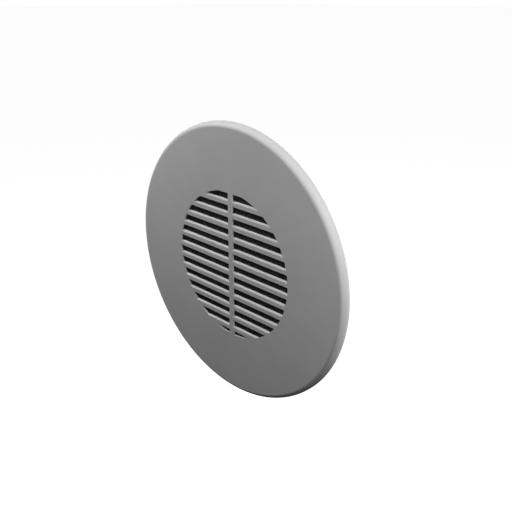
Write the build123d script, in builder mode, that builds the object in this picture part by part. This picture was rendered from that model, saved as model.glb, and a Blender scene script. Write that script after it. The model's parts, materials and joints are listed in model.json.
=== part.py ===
from build123d import *
import os
from math import radians, sqrt, tan

# Round ceiling air diffuser for a 100 mm duct, in millimetres.
#
# The ceiling's surface is the plane Y = 0 and the duct's axis is the Y axis: the room is on the -Y
# side, the ceiling void on the +Y side, and Z is up across the face. A "depth" is a Y coordinate,
# so the face that the room sees has a negative depth.
#
# Four bodies: the collar screwed to the ceiling with its damper bridge, the front with its louvre
# and filter, which pulls off on leaf springs, the spindle with its knob, and the damper disc that
# the spindle drives along two guide pins.

# ---------------------------------------------------------------- driving dimensions
# front
face_radius = 100.0
face_depth = -6.0  # the flat front of the face
skin_thickness = 1.4
rim_wall = 2.6
edge_width = 3.46  # the rounded front edge: across the face, and along the axis
edge_depth = 5.16
opening_radius = 53.87
slot_count = 13
slot_pitch = 8.62
slot_height = 5.65  # at the front
top_slot_edge = 52.7  # height of the upper edge of the top slot above the centre
slat_slope = 33  # degrees: the slats' tops rise towards the back
mullion_width = 3.7

# skirt of the front, which plugs into the collar's cup
skirt_inside = 57.3
skirt_thickness = 1.5
skirt_end = 7.4
key_width = 3.0
key_clearance = 0.3

# collar: flange, cup and duct spigot
flange_radius = 88.0
flange_thickness = 2.6
cup_radius = 60.6  # inside
wall = 1.8
ledge_depth = 15.0  # the cup's floor, which carries the damper bridge
spigot_radius = 49.0  # outside, for a 100 mm duct
spigot_end = 44.0
seat_radius = 35.0
fixing_circle_radius = 80.0
fixing_hole_radius = 2.3
fixing_head_radius = 3.7
fixing_hole_count = 4
fixing_angle = 45

# damper
disc_radius = 38.5
disc_thickness = 1.6
disc_front = 18.3  # closed
dish_depth = 4.0
damper_travel = 14.0
nut_back = 28.3  # rear of the drive nut, closed
hub_radius = 9.0
hub_front = 12.0
hub_back = 20.0
arm_width = 6.0
bridge_thickness = 2.0
spindle_radius = 4.0
running_clearance = 0.05
guide_pin_radius = 2.0
guide_pin_spacing = 18.0  # from the spindle's axis, above and below it
knob_radius = 11.0
knob_front = 6.4
knob_back = 10.7

# ---------------------------------------------------------------- derived sizes
skin_back = face_depth + skin_thickness
slat_rise = skin_thickness * tan(radians(slat_slope))
flat_radius = face_radius - edge_width
rim_inside = face_radius - rim_wall
skirt_radius = skirt_inside + skirt_thickness
cup_outside = cup_radius + wall
ledge_back = ledge_depth + wall
spigot_inside = spigot_radius - wall
bush_bore = spindle_radius + running_clearance


def across(depth):
    """The plane square to the duct at this depth, seen from the room. Extruding goes towards the room."""
    return Plane.XZ.offset(-depth)


def radial(radius, depth, angle):
    """The plane whose normal points away from the duct's axis at this angle, at this radius and depth."""
    outward = Vector(1, 0, 0).rotate(Axis.Y, -angle)
    return Plane(origin=outward * radius + Vector(0, depth, 0), x_dir=(0, 1, 0), z_dir=outward)


def ring_section(inside, outside, front, back):
    """Outline of a plain ring, as its radii and depths, to be revolved about the duct's axis."""
    with Locations(((inside + outside) / 2, (front + back) / 2)):
        Rectangle(outside - inside, back - front)


# ---------------------------------------------------------------- front: face plate
# One moulding: a shallow hollow plate, a louvre of sloping slats flush with its front, and a skirt.
inner_corner = 1.6  # rounding between the skin and the rim, inside
bite = 0.2  # how far a rib or a lug runs into the wall that carries it
gusset_count = 24
gusset_thickness = 1.2
gusset_gap = 1.5  # from the collar's flange
gusset_back = -0.8
lug_count = 4
lug_angle = 45
lug_reach = 1.3
lug_width = 10.0
lug_thickness = 1.2
spring_depth = 2.6  # middle of the leaf springs
spring_angles = [90, 210, 330]
rivet_radius = 1.0


# the air that the slots hold: sections between the slats, kept to the round opening, less the mullion
with BuildPart() as slots:
    with BuildSketch(Plane.YZ):
        for number in range(slot_count):
            top = top_slot_edge - number * slot_pitch
            with BuildLine():
                Polyline(
                    (face_depth, top),
                    (skin_back, top),
                    (skin_back, top - slot_height + slat_rise),
                    (face_depth, top - slot_height),
                    close=True,
                )
            make_face()
    extrude(amount=opening_radius, both=True)
    with BuildSketch(across(skin_back)):
        Circle(opening_radius)
        Rectangle(mullion_width, 2 * face_radius, mode=Mode.SUBTRACT)
    extrude(amount=skin_thickness, mode=Mode.INTERSECT)

with BuildPart() as face_plate:
    with BuildSketch(Plane.XY):
        with BuildLine():
            front = Line((0, face_depth), (flat_radius, face_depth))
            edge = EllipticalCenterArc(
                (flat_radius, face_depth + edge_depth), edge_width, edge_depth, 270, arc_size=90
            )
            rim = Polyline(
                edge @ 1, (face_radius, 0), (rim_inside, 0), (rim_inside, skin_back + inner_corner)
            )
            corner = RadiusArc(rim @ 1, (rim_inside - inner_corner, skin_back), inner_corner)
            Polyline(
                corner @ 1,
                (skirt_radius, skin_back),
                (skirt_radius, skirt_end),
                (skirt_inside, skirt_end),
                (skirt_inside, skin_back),
                (0, skin_back),
                front @ 0,
            )
        make_face()
    revolve(axis=Axis.Y)

    add(slots.part, mode=Mode.SUBTRACT)

    # gussets that stiffen the rim, outside the collar's flange
    gusset_inside = flange_radius + gusset_gap
    gusset_outside = rim_inside + bite
    with BuildSketch(across(gusset_back)):
        with PolarLocations((gusset_inside + gusset_outside) / 2, gusset_count):
            Rectangle(gusset_outside - gusset_inside, gusset_thickness)
    extrude(amount=gusset_back - skin_back + bite)

    # bayonet lugs that hold the filter ring
    with BuildSketch(across(skirt_end)):
        with PolarLocations(skirt_inside + bite - lug_reach / 2, lug_count, start_angle=lug_angle):
            Rectangle(lug_reach, lug_width)
    extrude(amount=lug_thickness)

    # keyway at the bottom of the skirt, which keeps the louvre level, and the rivet holes
    with BuildSketch(across(skirt_end)):
        with Locations((0, -skirt_radius)):
            Rectangle(key_width + 2 * key_clearance, 4 * skirt_thickness)
    extrude(amount=skirt_end, mode=Mode.SUBTRACT)
    with Locations(*[radial(skirt_radius, spring_depth, angle) for angle in spring_angles]):
        Hole(rivet_radius, depth=2 * skirt_thickness)

# ---------------------------------------------------------------- front: leaf springs and rivets
# A straight strip riveted to the skirt at its middle: its ends stand off the round skirt and
# press against the inside of the cup.
spring_thickness = 0.4
spring_half_length = 12.0
spring_width = 4.4
spring_corner = 1.5

leaf_springs = []
for angle in spring_angles:
    with BuildPart() as leaf_spring:
        with BuildSketch(radial(skirt_radius, spring_depth, angle)):
            RectangleRounded(spring_width, 2 * spring_half_length, spring_corner)
            Circle(rivet_radius, mode=Mode.SUBTRACT)
        extrude(amount=spring_thickness)
    leaf_springs.append(leaf_spring)

rivet_head_radius = 1.4
rivet_head_height = 0.5
# a flat head meets the skirt's round inside along its two edges
rivet_seat = sqrt(skirt_inside**2 - rivet_head_radius**2)

with BuildPart() as spring_rivets:
    for angle in spring_angles:
        with BuildSketch(radial(skirt_radius + spring_thickness, spring_depth, angle)):
            Circle(rivet_head_radius)
        extrude(amount=rivet_head_height)
        with BuildSketch(radial(rivet_seat, spring_depth, angle)):
            Circle(rivet_radius)
        extrude(amount=skirt_radius + spring_thickness - rivet_seat)
        with BuildSketch(radial(rivet_seat, spring_depth, angle)):
            Circle(rivet_head_radius)
        extrude(amount=-rivet_head_height)

# ---------------------------------------------------------------- front: filter and its ring
filter_radius = 56.6
filter_gap = 0.1  # behind the slats
filter_front = skin_back + filter_gap
filter_back = 4.1
ring_front = 4.2
ring_back = 6.0
ring_outside = 56.8
ring_inside = 52.4
spoke_width = 3.0
inner_ring_radius = 25.0
notch_clearance = 0.75
notch_angle = 20
finger_rib_length = 9.0
finger_rib_thickness = 1.4
finger_rib_height = 1.2

with BuildPart() as filter_mat:
    with BuildSketch(across(filter_back)):
        Circle(filter_radius)
    extrude(amount=filter_back - filter_front)

with BuildPart() as filter_ring:
    with BuildSketch(across(ring_back)):
        Circle(ring_outside)
        Circle(ring_inside, mode=Mode.SUBTRACT)
        Circle(inner_ring_radius + spoke_width / 2)
        Circle(inner_ring_radius - spoke_width / 2, mode=Mode.SUBTRACT)
        Rectangle(2 * ring_inside + spoke_width, spoke_width)
        Rectangle(spoke_width, 2 * ring_inside + spoke_width)
        # notches that let the ring in past the lugs before it is turned behind them
        with PolarLocations(ring_outside, lug_count, start_angle=notch_angle):
            Rectangle(2 * lug_reach, lug_width + 2 * notch_clearance, mode=Mode.SUBTRACT)
    extrude(amount=ring_back - ring_front)
    # two finger ribs for turning the ring
    with BuildSketch(across(ring_back + finger_rib_height)):
        with PolarLocations((ring_inside + ring_outside) / 2, 2, start_angle=90):
            Rectangle(finger_rib_thickness, finger_rib_length)
    extrude(amount=finger_rib_height + bite)

# ---------------------------------------------------------------- collar
seal_front = 19.0  # groove for the duct seal
seal_back = 25.0
seal_groove = 0.8
gasket_inside = 64.0
gasket_outside = 72.0
gasket_groove = 1.2
bridge_screw_circle = 54.2
bridge_screw_angle = 45
screw_count = 4
pilot_radius = 1.25
boss_radius = 2.8
boss_back = 22.0
boss_floor = 1.0  # left at the end of the screw's pilot hole
corner_chamfer = 1.0  # on the flange's edge and on the end of the spigot
key_height = 2.6
key_gap = 3.0  # from the damper bridge behind it

with BuildPart() as collar:
    with BuildSketch(Plane.XY):
        with BuildLine():
            Polyline(
                (cup_radius, -flange_thickness),
                (flange_radius - corner_chamfer, -flange_thickness),
                (flange_radius, corner_chamfer - flange_thickness),
                (flange_radius, 0),
                (gasket_outside, 0),
                (gasket_outside, -gasket_groove),
                (gasket_inside, -gasket_groove),
                (gasket_inside, 0),
                (cup_outside, 0),
                (cup_outside, ledge_back),
                (spigot_radius, ledge_back),
                (spigot_radius, seal_front),
                (spigot_radius - seal_groove, seal_front),
                (spigot_radius - seal_groove, seal_back),
                (spigot_radius, seal_back),
                (spigot_radius, spigot_end - corner_chamfer),
                (spigot_radius - corner_chamfer, spigot_end),
                (spigot_inside, spigot_end),
                (spigot_inside, ledge_back),
                (seat_radius, ledge_back),
                (seat_radius, ledge_depth),
                (cup_radius, ledge_depth),
                close=True,
            )
        make_face()
    revolve(axis=Axis.Y)

    # bosses behind the ledge for the bridge's screws
    with BuildSketch(across(boss_back)):
        with PolarLocations(bridge_screw_circle, screw_count, start_angle=bridge_screw_angle):
            Circle(boss_radius)
    extrude(amount=boss_back - ledge_depth - wall / 2)
    with BuildSketch(across(boss_back - boss_floor)):
        with PolarLocations(bridge_screw_circle, screw_count, start_angle=bridge_screw_angle):
            Circle(pilot_radius)
    extrude(amount=boss_back, mode=Mode.SUBTRACT)

    # key inside the cup, at the bottom
    with BuildSketch(across(ledge_depth - key_gap)):
        with Locations((0, key_height / 2 - cup_radius - bite)):
            Rectangle(key_width, key_height)
    extrude(amount=ledge_depth - key_gap)

    # countersunk holes for the ceiling screws
    with Locations(across(-flange_thickness)):
        with PolarLocations(fixing_circle_radius, fixing_hole_count, start_angle=fixing_angle):
            CounterSinkHole(fixing_hole_radius, fixing_head_radius, depth=2 * flange_thickness)

with BuildPart() as ceiling_gasket:
    with BuildSketch(Plane.XY):
        ring_section(gasket_inside, gasket_outside, -gasket_groove, 0)
    revolve(axis=Axis.Y)

# rubber ring with two lips that lean back towards the ceiling as the duct is pushed on
band_thickness = 0.8  # of the ring between its lips, above the spigot
lip_radius = 51.0
lip_thickness = 0.8
root_thickness = 1.4
lip_lean = 2.2
lip_spacing = 3.4
lip_roots = (seal_back - lip_spacing, seal_back)

with BuildPart() as duct_seal:
    with BuildSketch(Plane.XY):
        ring_section(
            spigot_radius - seal_groove, spigot_radius + band_thickness, seal_front, seal_back
        )
        for root in lip_roots:
            tip = root - lip_lean
            with BuildLine():
                Polyline(
                    (spigot_radius, root),
                    (spigot_radius, root - root_thickness),
                    (lip_radius, tip - lip_thickness / 2),
                    (lip_radius, tip + lip_thickness / 2),
                    close=True,
                )
            make_face()
    revolve(axis=Axis.Y)

# ---------------------------------------------------------------- damper bridge
bridge_gap = 0.2  # between the bridge and the cup's wall
bridge_outside = cup_radius - bridge_gap
key_slot_width = 5.0
key_slot_depth = 4.0
bridge_inside = 44.0
bridge_front = ledge_depth - bridge_thickness
bush_outside = 5.5
pin_boss_radius = 4.5
pin_boss_back = 18.0
rib_back = 17.5
rib_reach = 30.0
screw_clearance_radius = 1.6
guide_points = [(0, guide_pin_spacing), (0, -guide_pin_spacing)]

with BuildPart() as damper_bridge:
    with BuildSketch(across(ledge_depth)):
        Circle(bridge_outside)
        Circle(bridge_inside, mode=Mode.SUBTRACT)
        Rectangle(2 * bridge_inside + arm_width, arm_width)
        Rectangle(arm_width, 2 * bridge_inside + arm_width)
        with PolarLocations(bridge_screw_circle, screw_count, start_angle=bridge_screw_angle):
            Circle(screw_clearance_radius, mode=Mode.SUBTRACT)
        with Locations((0, -bridge_outside)):
            Rectangle(key_slot_width, 2 * key_slot_depth, mode=Mode.SUBTRACT)
    extrude(amount=bridge_thickness)
    # ribs behind the arms
    with BuildSketch(across(rib_back)):
        Rectangle(2 * rib_reach, bridge_thickness)
        Rectangle(bridge_thickness, 2 * rib_reach)
    extrude(amount=rib_back - ledge_depth)
    # hub and guide pin bosses
    with BuildSketch(across(hub_back)):
        Circle(hub_radius)
    extrude(amount=hub_back - hub_front)
    with BuildSketch(across(pin_boss_back)):
        with Locations(*guide_points):
            Circle(pin_boss_radius)
    extrude(amount=pin_boss_back - hub_front)
    with BuildSketch(across(hub_back)):
        Circle(bush_outside)
        with Locations(*guide_points):
            Circle(guide_pin_radius)
    extrude(amount=hub_back, mode=Mode.SUBTRACT)

screw_head_radius = 2.7
screw_head_height = 1.7
screw_head_rounding = 0.6
screw_tip_gap = 0.5  # from the end of the pilot hole
screw_tip = boss_back - boss_floor - screw_tip_gap
cross_width = 0.8
cross_length = 3.2
cross_depth = 1.0

with BuildPart() as bridge_screws:
    with BuildSketch(across(screw_tip)):
        with PolarLocations(bridge_screw_circle, screw_count, start_angle=bridge_screw_angle):
            Circle(pilot_radius)
    extrude(amount=screw_tip - bridge_front)
    with BuildSketch(across(bridge_front)):
        with PolarLocations(bridge_screw_circle, screw_count, start_angle=bridge_screw_angle):
            Circle(screw_head_radius)
    extrude(amount=screw_head_height)
    head_front = faces().group_by(Axis.Y)[0]
    fillet(head_front.edges(), screw_head_rounding)
    with BuildSketch(across(bridge_front - screw_head_height + cross_depth)):
        with PolarLocations(bridge_screw_circle, screw_count, start_angle=bridge_screw_angle):
            Rectangle(cross_length, cross_width)
            Rectangle(cross_width, cross_length)
    extrude(amount=2 * cross_depth, mode=Mode.SUBTRACT)

bush_flange_radius = 7.5
bush_flange_thickness = 0.8

with BuildPart() as hub_bush:
    with BuildSketch(Plane.XY):
        ring_section(bush_bore, bush_outside, hub_front, hub_back)
        ring_section(bush_bore, bush_flange_radius, hub_front - bush_flange_thickness, hub_front)
    revolve(axis=Axis.Y)

guide_pin_end = 42.0
guide_pin_recess = 0.5  # of the pins' front ends, in their bosses
guide_pin_front = hub_front + guide_pin_recess
guide_pin_rounding = 0.8

with BuildPart() as guide_pins:
    with BuildSketch(across(guide_pin_end)):
        with Locations(*guide_points):
            Circle(guide_pin_radius)
    extrude(amount=guide_pin_end - guide_pin_front)
    fillet(faces().group_by(Axis.Y)[-1].edges(), guide_pin_rounding)

# ---------------------------------------------------------------- spindle and what turns with it
spindle_front = 7.9
spindle_end = spigot_end
spindle_chamfer = 0.5
groove_radius = 3.3
circlip_front = 20.7
clip_thickness = 0.8
end_clip_gap = 0.3
end_clip_front = nut_back + damper_travel + end_clip_gap  # stops the nut when the damper is open
knob_pin_radius = 1.0
knob_pin_half_length = 8.0
knob_pin_depth = 9.3

with BuildPart() as spindle:
    with BuildSketch(across(spindle_end)):
        Circle(spindle_radius)
    extrude(amount=spindle_end - spindle_front)
    chamfer(faces().sort_by(Axis.Y)[-1].edges(), spindle_chamfer)
    for groove_front in (circlip_front, end_clip_front):
        with BuildSketch(across(groove_front + clip_thickness)):
            Circle(2 * spindle_radius)
            Circle(groove_radius, mode=Mode.SUBTRACT)
        extrude(amount=clip_thickness, mode=Mode.SUBTRACT)
    with Locations(radial(knob_radius, knob_pin_depth, 0)):
        Hole(knob_pin_radius, depth=2 * knob_radius)

grip_count = 12
grip_radius = 1.6
knob_rounding = 0.5
driver_slot_length = 14.3
driver_slot_width = 1.4
driver_slot_depth = 1.0

with BuildPart() as adjusting_knob:
    with BuildSketch(across(knob_back)):
        Circle(knob_radius)
        with PolarLocations(knob_radius + grip_radius / 3, grip_count):
            Circle(grip_radius, mode=Mode.SUBTRACT)
    extrude(amount=knob_back - knob_front)
    fillet(faces().sort_by(Axis.Y)[0].edges(), knob_rounding)
    with BuildSketch(across(knob_back)):
        Circle(spindle_radius)
    extrude(amount=knob_back - spindle_front, mode=Mode.SUBTRACT)
    with BuildSketch(across(knob_front + driver_slot_depth)):
        Rectangle(driver_slot_length, driver_slot_width)
    extrude(amount=2 * driver_slot_depth, mode=Mode.SUBTRACT)
    with Locations(radial(knob_radius, knob_pin_depth, 0)):
        Hole(knob_pin_radius, depth=knob_radius + knob_pin_half_length)

with BuildPart() as knob_pin:
    with BuildSketch(radial(knob_pin_half_length, knob_pin_depth, 0)):
        Circle(knob_pin_radius)
    extrude(amount=-2 * knob_pin_half_length)

washer_gap = 0.05

with BuildPart() as thrust_washer:
    with BuildSketch(Plane.XY):
        ring_section(
            spindle_radius,
            bush_flange_radius,
            knob_back,
            hub_front - bush_flange_thickness - washer_gap,
        )
    revolve(axis=Axis.Y)

# coned washer between the hub and the circlip: its friction keeps the damper where it is set
cone_thickness = 0.3

with BuildPart() as disc_spring:
    with BuildSketch(Plane.XY):
        with BuildLine():
            Polyline(
                (spindle_radius, circlip_front),
                (spindle_radius, circlip_front - cone_thickness),
                (bush_flange_radius, hub_back + washer_gap),
                (bush_flange_radius, hub_back + washer_gap + cone_thickness),
                close=True,
            )
        make_face()
    revolve(axis=Axis.Y)

clip_radius = 6.2
clip_mouth = 4.0


def clip_outline():
    """Retaining clip: a ring in the spindle's groove, open on one side."""
    Circle(clip_radius)
    Circle(groove_radius, mode=Mode.SUBTRACT)
    with Locations((clip_radius, 0)):
        Rectangle(2 * clip_radius, clip_mouth, mode=Mode.SUBTRACT)


with BuildPart() as spindle_circlip:
    with BuildSketch(across(circlip_front + clip_thickness)):
        clip_outline()
    extrude(amount=clip_thickness)

with BuildPart() as end_stop_clip:
    with BuildSketch(across(end_clip_front + clip_thickness)):
        clip_outline()
    extrude(amount=clip_thickness)

# ---------------------------------------------------------------- damper disc and what slides with it
dish_radius = 22.0
dish_rim_radius = 28.0
slope_offset = 0.8  # keeps the dish's slope about as thick as the rest of the disc
dish_front = disc_front + dish_depth
lip_back = 22.0
lip_width = 1.4
nut_radius = 6.0
nut_boss_radius = 10.0
nut_flange_radius = 8.5
nut_flange_front = 21.9
nut_recess = 0.6  # in the dish, for the nut's flange
guide_bush_radius = 3.2
guide_bush_flange = 3.8
guide_bush_flange_thickness = 1.0
guide_bush_back = 26.3

with BuildPart() as damper_disc:
    with BuildSketch(Plane.XY):
        with BuildLine():
            Polyline(
                (nut_radius, dish_front),
                (dish_radius, dish_front),
                (dish_rim_radius, disc_front),
                (disc_radius, disc_front),
                (disc_radius, lip_back),
                (disc_radius - lip_width, lip_back),
                (disc_radius - lip_width, disc_front + disc_thickness),
                (dish_rim_radius + slope_offset, disc_front + disc_thickness),
                (dish_radius + slope_offset, dish_front + disc_thickness),
                (nut_boss_radius, dish_front + disc_thickness),
                (nut_boss_radius, nut_back),
                (nut_radius, nut_back),
                close=True,
            )
        make_face()
    revolve(axis=Axis.Y)
    with BuildSketch(across(guide_bush_back)):
        with Locations(*guide_points):
            Circle(guide_bush_flange)
    extrude(amount=guide_bush_back - dish_front)
    with BuildSketch(across(guide_bush_back)):
        with Locations(*guide_points):
            Circle(guide_bush_radius)
    extrude(amount=guide_bush_back, mode=Mode.SUBTRACT)
    # recess for the nut's flange
    with BuildSketch(across(dish_front + nut_recess)):
        Circle(nut_flange_radius)
    extrude(amount=2 * nut_recess, mode=Mode.SUBTRACT)

with BuildPart() as drive_nut:
    with BuildSketch(Plane.XY):
        ring_section(bush_bore, nut_radius, nut_flange_front, nut_back)
        ring_section(bush_bore, nut_flange_radius, nut_flange_front, dish_front + nut_recess)
    revolve(axis=Axis.Y)

with BuildPart() as guide_bushes:
    with BuildSketch(across(guide_bush_back)):
        with Locations(*guide_points):
            Circle(guide_bush_radius)
    extrude(amount=guide_bush_back - dish_front)
    with BuildSketch(across(dish_front)):
        with Locations(*guide_points):
            Circle(guide_bush_flange)
    extrude(amount=guide_bush_flange_thickness)
    with BuildSketch(across(guide_bush_back)):
        with Locations(*guide_points):
            Circle(guide_pin_radius + running_clearance)
    extrude(amount=guide_bush_back, mode=Mode.SUBTRACT)

seal_inside = 35.6
seal_outside = 38.2
seal_rounding = 0.5
seat_gap = 0.1

with BuildPart() as disc_seal:
    with BuildSketch(Plane.XY):
        ring_section(seal_inside, seal_outside, ledge_back + seat_gap, disc_front)
    revolve(axis=Axis.Y)
    fillet(faces().sort_by(Axis.Y)[0].edges(), seal_rounding)

# ---------------------------------------------------------------- write the pieces
pieces = {
    "face_plate": face_plate,
    "spring_rivets": spring_rivets,
    "filter_mat": filter_mat,
    "filter_ring": filter_ring,
    "collar": collar,
    "ceiling_gasket": ceiling_gasket,
    "duct_seal": duct_seal,
    "damper_bridge": damper_bridge,
    "bridge_screws": bridge_screws,
    "hub_bush": hub_bush,
    "guide_pins": guide_pins,
    "spindle": spindle,
    "adjusting_knob": adjusting_knob,
    "knob_pin": knob_pin,
    "thrust_washer": thrust_washer,
    "disc_spring": disc_spring,
    "spindle_circlip": spindle_circlip,
    "end_stop_clip": end_stop_clip,
    "damper_disc": damper_disc,
    "drive_nut": drive_nut,
    "guide_bushes": guide_bushes,
    "disc_seal": disc_seal,
}
for number, leaf_spring in enumerate(leaf_springs, start=1):
    pieces[f"leaf_spring_{number}"] = leaf_spring

os.makedirs("parts", exist_ok=True)
for name, piece in pieces.items():
    piece.part.label = name
    export_step(piece.part, f"parts/{name}.step")
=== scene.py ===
import json
import math

import bmesh
import bpy
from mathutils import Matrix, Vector, noise


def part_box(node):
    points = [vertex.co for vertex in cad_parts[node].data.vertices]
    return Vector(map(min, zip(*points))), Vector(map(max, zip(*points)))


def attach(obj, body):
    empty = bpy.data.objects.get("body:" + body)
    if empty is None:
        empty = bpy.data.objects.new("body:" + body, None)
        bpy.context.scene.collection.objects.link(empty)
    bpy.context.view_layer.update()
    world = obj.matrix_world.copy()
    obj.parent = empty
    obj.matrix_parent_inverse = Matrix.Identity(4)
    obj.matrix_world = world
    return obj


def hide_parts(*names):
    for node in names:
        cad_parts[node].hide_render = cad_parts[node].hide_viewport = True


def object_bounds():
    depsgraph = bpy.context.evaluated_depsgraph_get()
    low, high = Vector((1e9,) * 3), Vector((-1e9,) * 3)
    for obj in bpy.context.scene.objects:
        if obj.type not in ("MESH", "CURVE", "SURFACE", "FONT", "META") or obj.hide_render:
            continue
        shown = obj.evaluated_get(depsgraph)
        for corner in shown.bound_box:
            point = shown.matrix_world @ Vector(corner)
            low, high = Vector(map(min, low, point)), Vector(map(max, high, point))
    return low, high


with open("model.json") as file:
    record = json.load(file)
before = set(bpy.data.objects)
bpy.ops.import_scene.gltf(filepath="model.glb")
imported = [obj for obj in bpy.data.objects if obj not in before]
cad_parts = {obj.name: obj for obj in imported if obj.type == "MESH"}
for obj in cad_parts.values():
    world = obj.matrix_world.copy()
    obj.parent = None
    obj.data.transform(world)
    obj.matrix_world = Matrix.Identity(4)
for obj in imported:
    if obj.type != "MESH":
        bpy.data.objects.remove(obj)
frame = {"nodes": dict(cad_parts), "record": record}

# Looks of the round ceiling air diffuser: materials for the CAD pieces, a foam filter and a threaded
# spindle in place of their plain CAD solids, and a plain studio. Metres, in the CAD's own frame:
# the duct's axis is Y, the room is on the -Y side and Z is up.

MM = 0.001
PALE = (1, 1, 1, 1)  # light without a tint
cad_low, cad_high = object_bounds()
centre = (cad_low + cad_high) / 2
face_radius = (cad_high.x - cad_low.x) / 2


# ---------------------------------------------------------------- material helpers
class Shader:
    """A material with one Principled shader, and short ways to feed it from object coordinates."""

    def __init__(self, name, colour, roughness, metallic=0.0, specular=0.5):
        self.material = bpy.data.materials.new(name)
        self.material.use_nodes = True
        self.tree = self.material.node_tree
        self.principled = self.tree.nodes["Principled BSDF"]
        self.colour = colour
        self.roughness = roughness
        self.principled.inputs["Base Color"].default_value = (*colour, 1)
        self.principled.inputs["Roughness"].default_value = roughness
        self.principled.inputs["Metallic"].default_value = metallic
        self.principled.inputs["Specular IOR Level"].default_value = specular
        self.place = self.add("ShaderNodeTexCoord").outputs["Object"]
        self.normal = None

    def add(self, kind, **settings):
        node = self.tree.nodes.new(kind)
        for key, value in settings.items():
            setattr(node, key, value)
        return node

    def link(self, source, target):
        self.tree.links.new(source, target)

    def stretched(self, factors):
        """Object coordinates, scaled by a factor on each axis, so that a pattern runs along one of them."""
        mapping = self.add("ShaderNodeMapping")
        mapping.inputs["Scale"].default_value = factors
        self.link(self.place, mapping.inputs["Vector"])
        return mapping.outputs["Vector"]

    def noise(self, scale, detail, place=None):
        texture = self.add("ShaderNodeTexNoise")
        texture.inputs["Scale"].default_value = scale
        texture.inputs["Detail"].default_value = detail
        self.link(place or self.place, texture.inputs["Vector"])
        return texture.outputs["Fac"]

    def cells(self, scale):
        """Distance to the middle of the nearest random cell."""
        texture = self.add("ShaderNodeTexVoronoi")
        texture.inputs["Scale"].default_value = scale
        self.link(self.place, texture.inputs["Vector"])
        return texture.outputs["Distance"]

    def rings(self, step):
        """Fine turning marks round the duct's axis and along it, one every step metres."""
        parts = self.add("ShaderNodeSeparateXYZ")
        self.link(self.place, parts.inputs[0])
        across = self.squared(parts.outputs["X"])
        up = self.squared(parts.outputs["Z"])
        away = self.maths("SQRT", self.maths("ADD", across, up))
        along = self.maths("ADD", away, parts.outputs["Y"])
        return self.maths("SINE", self.maths("MULTIPLY", along, math.tau / step))

    def maths(self, operation, *values):
        node = self.add("ShaderNodeMath", operation=operation)
        for socket, value in zip(node.inputs, values):
            if isinstance(value, (int, float)):
                socket.default_value = value
            else:
                self.link(value, socket)
        return node.outputs[0]

    def squared(self, value):
        return self.maths("MULTIPLY", value, value)

    def ranged(self, value, low, high, start=0.3, end=0.7):
        """The value, moved from start..end to low..high and kept inside it."""
        node = self.add("ShaderNodeMapRange")
        for key, number in (("From Min", start), ("From Max", end), ("To Min", low), ("To Max", high)):
            node.inputs[key].default_value = number
        self.link(value, node.inputs["Value"])
        return node.outputs["Result"]

    def vary_roughness(self, value, spread):
        self.link(
            self.ranged(value, self.roughness - spread, self.roughness + spread),
            self.principled.inputs["Roughness"],
        )

    def vary_colour(self, value, other, most=1.0):
        """Mixes the base colour towards another one as the value grows."""
        mix = self.add("ShaderNodeMix", data_type="RGBA")
        mix.inputs["A"].default_value = (*self.colour, 1)
        mix.inputs["B"].default_value = (*other, 1)
        self.link(self.ranged(value, 0.0, most), mix.inputs["Factor"])
        self.link(mix.outputs["Result"], self.principled.inputs["Base Color"])

    def wear_edges(self, other, most):
        """Mixes the colour so far towards another one on the convex edges, in broken patches."""
        flat, sharp = 0.52, 0.6  # pointiness where the wear starts and where it is full
        colour_input = self.principled.inputs["Base Color"]
        so_far = colour_input.links[0].from_socket
        pointiness = self.add("ShaderNodeNewGeometry").outputs["Pointiness"]
        edge = self.ranged(pointiness, 0.0, most, flat, sharp)
        worn = self.maths("MULTIPLY", edge, self.noise(260, 4))
        mix = self.add("ShaderNodeMix", data_type="RGBA")
        mix.inputs["B"].default_value = (*other, 1)
        self.link(so_far, mix.inputs["A"])
        self.link(worn, mix.inputs["Factor"])
        self.link(mix.outputs["Result"], colour_input)

    def bump(self, height, distance, strength=1.0):
        """Adds a bump of the height value, the given distance high in metres, on top of earlier ones."""
        node = self.add("ShaderNodeBump")
        node.inputs["Distance"].default_value = distance
        node.inputs["Strength"].default_value = strength
        self.link(height, node.inputs["Height"])
        if self.normal:
            self.link(self.normal, node.inputs["Normal"])
        self.normal = node.outputs["Normal"]
        self.link(self.normal, self.principled.inputs["Normal"])


def scaled(colour, factor):
    return tuple(channel * factor for channel in colour)


# ---------------------------------------------------------------- materials
def moulded_plastic(name, colour, roughness, grain=0.006 * MM):
    """Injection-moulded plastic: spark-eroded grain, faint flow marks, uneven gloss, rubbed edges."""
    shader = Shader(name, colour, roughness)
    shader.vary_colour(shader.noise(scale=28, detail=5), scaled(colour, 0.95))
    shader.wear_edges(scaled(colour, 0.8), most=0.5)
    shader.vary_roughness(shader.noise(scale=90, detail=4), spread=0.05)
    shader.bump(shader.noise(scale=14, detail=2), distance=0.05 * MM, strength=0.5)
    shader.bump(shader.noise(scale=2600, detail=2), distance=grain)
    return shader.material


def filled_nylon():
    """Black nylon with glass fibre: speckled, with the fibres' fine scratches in the gloss."""
    shader = Shader("black_plastic", (0.030, 0.030, 0.032), 0.48)
    shader.vary_colour(shader.noise(scale=900, detail=2), (0.075, 0.075, 0.078), most=0.6)
    shader.wear_edges((0.22, 0.22, 0.22), most=0.8)
    shader.vary_roughness(shader.noise(scale=220, detail=5), spread=0.1)
    shader.bump(shader.noise(scale=700, detail=6), distance=0.02 * MM)
    return shader.material


def acetal():
    """Natural acetal: waxy and a little translucent, with faint turning marks."""
    shader = Shader("bush_plastic", (0.80, 0.785, 0.74), 0.32)
    shader.principled.inputs["Subsurface Weight"].default_value = 0.15
    shader.principled.inputs["Subsurface Radius"].default_value = (MM, MM, MM)
    shader.vary_roughness(shader.noise(scale=400, detail=3), spread=0.06)
    shader.vary_colour(shader.noise(scale=60, detail=4), (0.72, 0.70, 0.64), most=0.6)
    shader.bump(shader.rings(step=0.25 * MM), distance=0.002 * MM)
    return shader.material


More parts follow.
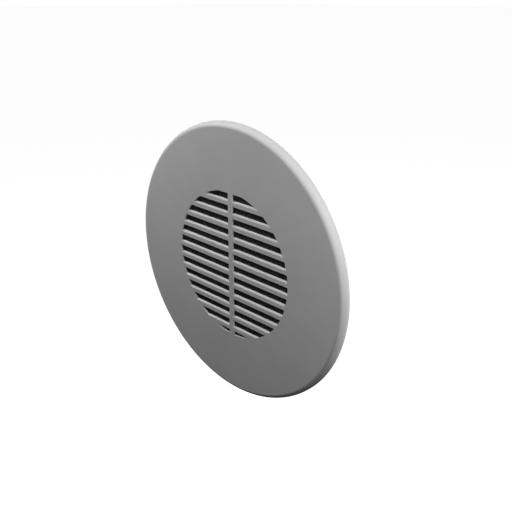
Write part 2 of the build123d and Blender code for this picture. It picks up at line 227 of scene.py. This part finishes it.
def open_foam_and_painted_shade():
    """Black open-cell filter foam; its near-black colour also stands in as painted shade for the dark
    inside of the louvre's slots.
    """
    # painted shade: the foam's near-black colour is kept this dark so that it stands in for the shade
    # inside the slots
    shader = Shader("filter_foam", (0.07, 0.07, 0.073), 0.95, specular=0.15)
    shader.vary_colour(shader.cells(scale=900), (0.03, 0.03, 0.031))
    shader.vary_roughness(shader.noise(scale=500, detail=2), spread=0.04)
    shader.bump(shader.cells(scale=1100), distance=0.4 * MM)
    return shader.material


def closed_foam():
    """Dark grey closed-cell foam strip: a skin of small domed cells."""
    shader = Shader("gasket_foam", (0.060, 0.061, 0.064), 0.85, specular=0.25)
    shader.vary_colour(shader.noise(scale=700, detail=3), (0.11, 0.11, 0.115), most=0.7)
    shader.vary_roughness(shader.noise(scale=300, detail=3), spread=0.08)
    shader.bump(shader.cells(scale=1500), distance=0.12 * MM)
    return shader.material


def seal_rubber():
    """Black moulded rubber with a greyish bloom."""
    shader = Shader("seal_rubber", (0.022, 0.022, 0.024), 0.55, specular=0.4)
    shader.principled.inputs["Sheen Weight"].default_value = 0.15
    shader.vary_colour(shader.noise(scale=75, detail=6), (0.07, 0.07, 0.075), most=0.6)
    shader.wear_edges((0.13, 0.13, 0.13), most=0.7)
    shader.vary_roughness(shader.noise(scale=160, detail=4), spread=0.12)
    shader.bump(shader.noise(scale=1800, detail=3), distance=0.01 * MM)
    return shader.material


def brushed_metal(name, colour, roughness, along):
    """Metal with fine lines that run along one axis, and smudges in its gloss."""
    shader = Shader(name, colour, roughness, metallic=1.0)
    lines = shader.noise(scale=500, detail=3, place=shader.stretched(along))
    shader.vary_roughness(lines, spread=0.1)
    shader.vary_colour(shader.noise(scale=130, detail=5), scaled(colour, 0.78), most=0.8)
    shader.wear_edges(scaled(colour, 1.25), most=0.7)
    shader.bump(lines, distance=0.004 * MM)
    return shader.material


def zinc_plate():
    """Zinc plating: a bluish metal with faint straw-coloured clouds and turning marks."""
    shader = Shader("zinc_steel", (0.60, 0.62, 0.66), 0.38, metallic=1.0)
    shader.vary_colour(shader.noise(scale=170, detail=5), (0.62, 0.58, 0.47), most=0.7)
    shader.wear_edges((0.85, 0.86, 0.88), most=0.8)
    shader.vary_roughness(shader.noise(scale=420, detail=4), spread=0.08)
    shader.bump(shader.rings(step=0.2 * MM), distance=0.002 * MM)
    return shader.material


def turned_brass():
    """Brass with duller, browner clouds, bright edges and turning marks."""
    shader = Shader("nut_brass", (0.66, 0.49, 0.22), 0.36, metallic=1.0)
    shader.vary_colour(shader.noise(scale=210, detail=5), (0.50, 0.34, 0.14), most=0.7)
    shader.wear_edges((0.90, 0.74, 0.42), most=0.8)
    shader.vary_roughness(shader.noise(scale=350, detail=4), spread=0.09)
    shader.bump(shader.rings(step=0.3 * MM), distance=0.004 * MM)
    return shader.material


FRONT_WHITE = (0.80, 0.80, 0.80)
materials = {
    "front_plastic": moulded_plastic("front_plastic", FRONT_WHITE, 0.62),
    "collar_plastic": moulded_plastic("collar_plastic", (0.64, 0.65, 0.645), 0.46, 0.01 * MM),
    "disc_plastic": moulded_plastic("disc_plastic", (0.74, 0.735, 0.71), 0.4),
    "knob_plastic": moulded_plastic("knob_plastic", (0.17, 0.175, 0.185), 0.5, 0.015 * MM),
    "black_plastic": filled_nylon(),
    "bush_plastic": acetal(),
    # filter_foam: real foam, whose near-black colour also paints the shade inside the slots
    "filter_foam": open_foam_and_painted_shade(),
    "gasket_foam": closed_foam(),
    "seal_rubber": seal_rubber(),
    "spring_steel": brushed_metal("spring_steel", (0.55, 0.55, 0.56), 0.28, (1, 0.05, 1)),
    "rivet_metal": brushed_metal("rivet_metal", (0.76, 0.76, 0.77), 0.35, (1, 1, 1)),
    "zinc_steel": zinc_plate(),
    "nut_brass": turned_brass(),
}
slot_of = {part["node"]: part["material_slot"] for part in frame["record"]["subparts"]}
for name, thing in frame["nodes"].items():
    thing.data.materials.clear()
    thing.data.materials.append(materials[slot_of[name]])


# ---------------------------------------------------------------- pieces that replace plain CAD solids
def new_piece(name, mesh_data, slot, body, node):
    """Puts a piece in the scene that stands for a CAD node and rides on its body."""
    piece = bpy.data.objects.new(name, mesh_data)
    bpy.context.scene.collection.objects.link(piece)
    mesh_data.materials.append(materials[slot])
    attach(piece, body)
    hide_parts(node)
    return piece


def smooth_mesh(name, shape):
    """Turns a bmesh into a smooth-shaded mesh whose normals point outwards."""
    bmesh.ops.recalc_face_normals(shape, faces=shape.faces)
    for face in shape.faces:
        face.smooth = True
    made = bpy.data.meshes.new(name)
    shape.to_mesh(made)
    shape.free()
    return made


def join_rings(shape, near, far):
    """Faces between two rings of equally many points."""
    for step in range(len(near)):
        after = (step + 1) % len(near)
        shape.faces.new((near[step], near[after], far[after], far[step]))


def threaded_spindle():
    """The spindle with its two-start thread, the two clip grooves and a chamfered end."""
    low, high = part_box("spindle")
    shrink = 0.998  # keeps it just inside the CAD piece
    crest = (high.x - low.x) / 2 * shrink
    thread_height = 0.65 * MM
    groove = 3.3 * MM
    chamfer = 0.5 * MM
    lead = 7 * MM
    starts = 2
    root_share = 0.25  # of half a pitch: the thread's flat root, then its flank
    flank_share = 0.45
    run_out = 1 * MM  # over which the thread's ends fade
    thread_from = 22.2 * MM
    thread_to = 42.2 * MM
    around = 64
    step = 0.125 * MM
    clips = [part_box(clip) for clip in ("spindle_circlip", "end_stop_clip")]

    def radius(depth, angle):
        if any(clip_low.y <= depth <= clip_high.y for clip_low, clip_high in clips):
            return groove
        plain = min(crest, crest - chamfer + min(depth - low.y, high.y - depth))
        if not thread_from < depth < thread_to:
            return plain
        turn = -starts * (depth / lead + angle / math.tau) % 1
        from_root = abs(turn - 0.5) * 2  # 0 in the middle of the root, 1 in the middle of the crest
        cut = 1 - min(1, max(0, (from_root - root_share) / flank_share))
        fade = min(1, (depth - thread_from) / run_out, (thread_to - depth) / run_out)
        return min(plain, crest - thread_height * cut * fade)

    shape = bmesh.new()
    rings = []
    count = round((high.y - low.y) / step)
    for number in range(count + 1):
        depth = low.y + (high.y - low.y) * number / count
        ring = []
        for side in range(around):
            angle = math.tau * side / around
            away = radius(depth, angle)
            ring.append(shape.verts.new((away * math.cos(angle), depth, away * math.sin(angle))))
        rings.append(ring)
    for near, far in zip(rings, rings[1:]):
        join_rings(shape, near, far)
    shape.faces.new(rings[0])
    shape.faces.new(rings[-1])
    name = "threaded_spindle"
    new_piece(name, smooth_mesh(name, shape), "zinc_steel", "spindle", "spindle")


def foam_filter():
    """A round slab of open-cell foam with pitted faces and a slightly ragged cut edge."""
    low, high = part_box("filter_mat")
    outer = (high.x - low.x) / 2
    circles = 60  # of points, from the middle to the edge
    around = 360
    pore = 1.6 * MM
    pit_depth = 0.45 * MM
    pit_steepness = 1.6
    raggedness = 0.006  # of the radius
    rag_scale = 40
    apart = 7.3  # keeps the two faces' patterns from being alike

    def pit(x, z, side):
        """0 on the bottom of a pore, 1 on the walls between the pores."""
        nearest = noise.voronoi(Vector((x / pore, side * apart, z / pore)))[0][0]
        return min(1, nearest * pit_steepness)

    shape = bmesh.new()
    edges = []
    for side, face_depth, inwards in ((0, low.y, 1), (1, high.y, -1)):
        rings = []
        for circle in range(1, circles + 1):
            ring = []
            for step in range(around):
                angle = math.tau * step / around
                away = outer * circle / circles
                if circle == circles:
                    rag = noise.noise(Vector((math.cos(angle), math.sin(angle), side)) * rag_scale)
                    away = min(outer, away * (1 - raggedness * rag))
                x, z = away * math.cos(angle), away * math.sin(angle)
                depth = face_depth + inwards * pit_depth * (1 - pit(x, z, side))
                ring.append(shape.verts.new((x, depth, z)))
            rings.append(ring)
        middle = shape.verts.new((0, face_depth, 0))
        for step in range(around):
            shape.faces.new((middle, rings[0][step], rings[0][(step + 1) % around]))
        for near, far in zip(rings, rings[1:]):
            join_rings(shape, near, far)
        edges.append(rings[-1])
    join_rings(shape, *edges)
    name = "foam_filter"
    piece = new_piece(name, smooth_mesh(name, shape), "filter_foam", "front", "filter_mat")


threaded_spindle()
foam_filter()


# ---------------------------------------------------------------- studio
def aimed(thing, at):
    thing.rotation_mode = "QUATERNION"
    thing.rotation_quaternion = (at - thing.location).to_track_quat("-Z", "Y")


def make_camera():
    """A camera in front, to the right and above, aimed at the middle of the object."""
    azimuth, elevation = math.radians(45), math.radians(22.97)
    distance = 5.1235 * face_radius
    data = bpy.data.cameras.new("camera")
    data.lens = 50
    data.sensor_width = 36
    camera = bpy.data.objects.new("camera", data)
    bpy.context.scene.collection.objects.link(camera)
    back = Vector(
        (
            math.sin(azimuth) * math.cos(elevation),
            -math.cos(azimuth) * math.cos(elevation),
            math.sin(elevation),
        )
    )
    camera.location = centre + back * distance
    aimed(camera, centre)
    bpy.context.scene.camera = camera


def area_light(name, place, size, power):
    """A square soft light aimed at the middle of the face. Its place, from there, and its size are in
    face radii."""
    data = bpy.data.lights.new(name, "AREA")
    data.size = size * face_radius
    data.energy = power
    light = bpy.data.objects.new(name, data)
    bpy.context.scene.collection.objects.link(light)
    face_middle = Vector((0, cad_low.y, 0))
    light.location = face_middle + Vector(place) * face_radius
    light.visible_camera = False
    aimed(light, face_middle)


def make_floor():
    """A wide pale floor well below the object. It throws no light back on it."""
    radius = 12
    drop = 0.45  # below the object
    shape = bmesh.new()
    bmesh.ops.create_circle(shape, cap_ends=True, radius=radius, segments=96)
    mesh_data = bpy.data.meshes.new("floor")
    shape.to_mesh(mesh_data)
    shape.free()
    floor = bpy.data.objects.new("floor", mesh_data)
    bpy.context.scene.collection.objects.link(floor)
    floor.location = (0, 0, cad_low.z - drop)
    floor.visible_diffuse = False
    floor.visible_glossy = False
    shader = Shader("floor_pale", (0.93, 0.93, 0.93), 0.9, specular=0.1)
    shader.vary_roughness(shader.noise(scale=3, detail=2), spread=0.03)
    shader.principled.inputs["Emission Color"].default_value = PALE
    shader.principled.inputs["Emission Strength"].default_value = 0.96
    mesh_data.materials.append(shader.material)


def make_world():
    """Faint even light on the object, and a pale surround that only the camera sees."""
    world = bpy.data.worlds.new("studio")
    bpy.context.scene.world = world
    world.use_nodes = True
    tree = world.node_tree
    tree.nodes.clear()
    mix = tree.nodes.new("ShaderNodeMixShader")
    path = tree.nodes.new("ShaderNodeLightPath")
    tree.links.new(path.outputs["Is Camera Ray"], mix.inputs[0])
    for socket, strength in ((mix.inputs[1], 0.01), (mix.inputs[2], 1.06)):
        background = tree.nodes.new("ShaderNodeBackground")
        background.inputs["Color"].default_value = PALE
        background.inputs["Strength"].default_value = strength
        tree.links.new(background.outputs[0], socket)
    out = tree.nodes.new("ShaderNodeOutputWorld")
    tree.links.new(mix.outputs[0], out.inputs["Surface"])


make_camera()
area_light("left", place=(-3.2, -1.57, 3.35), size=1.5, power=1.26)
area_light("right", place=(3.25, -1.38, 2.0), size=1.2, power=0.44)
area_light("back", place=(1.4, 1.85, -0.4), size=0.7, power=0.22)
area_light("far", place=(8.0, 1.6, 9.5), size=3.0, power=6.96)
area_light("rear fill", place=(-3.5, 4.0, -0.8), size=4.0, power=0.9)
make_floor()
make_world()
bpy.context.scene.view_settings.view_transform = "Standard"
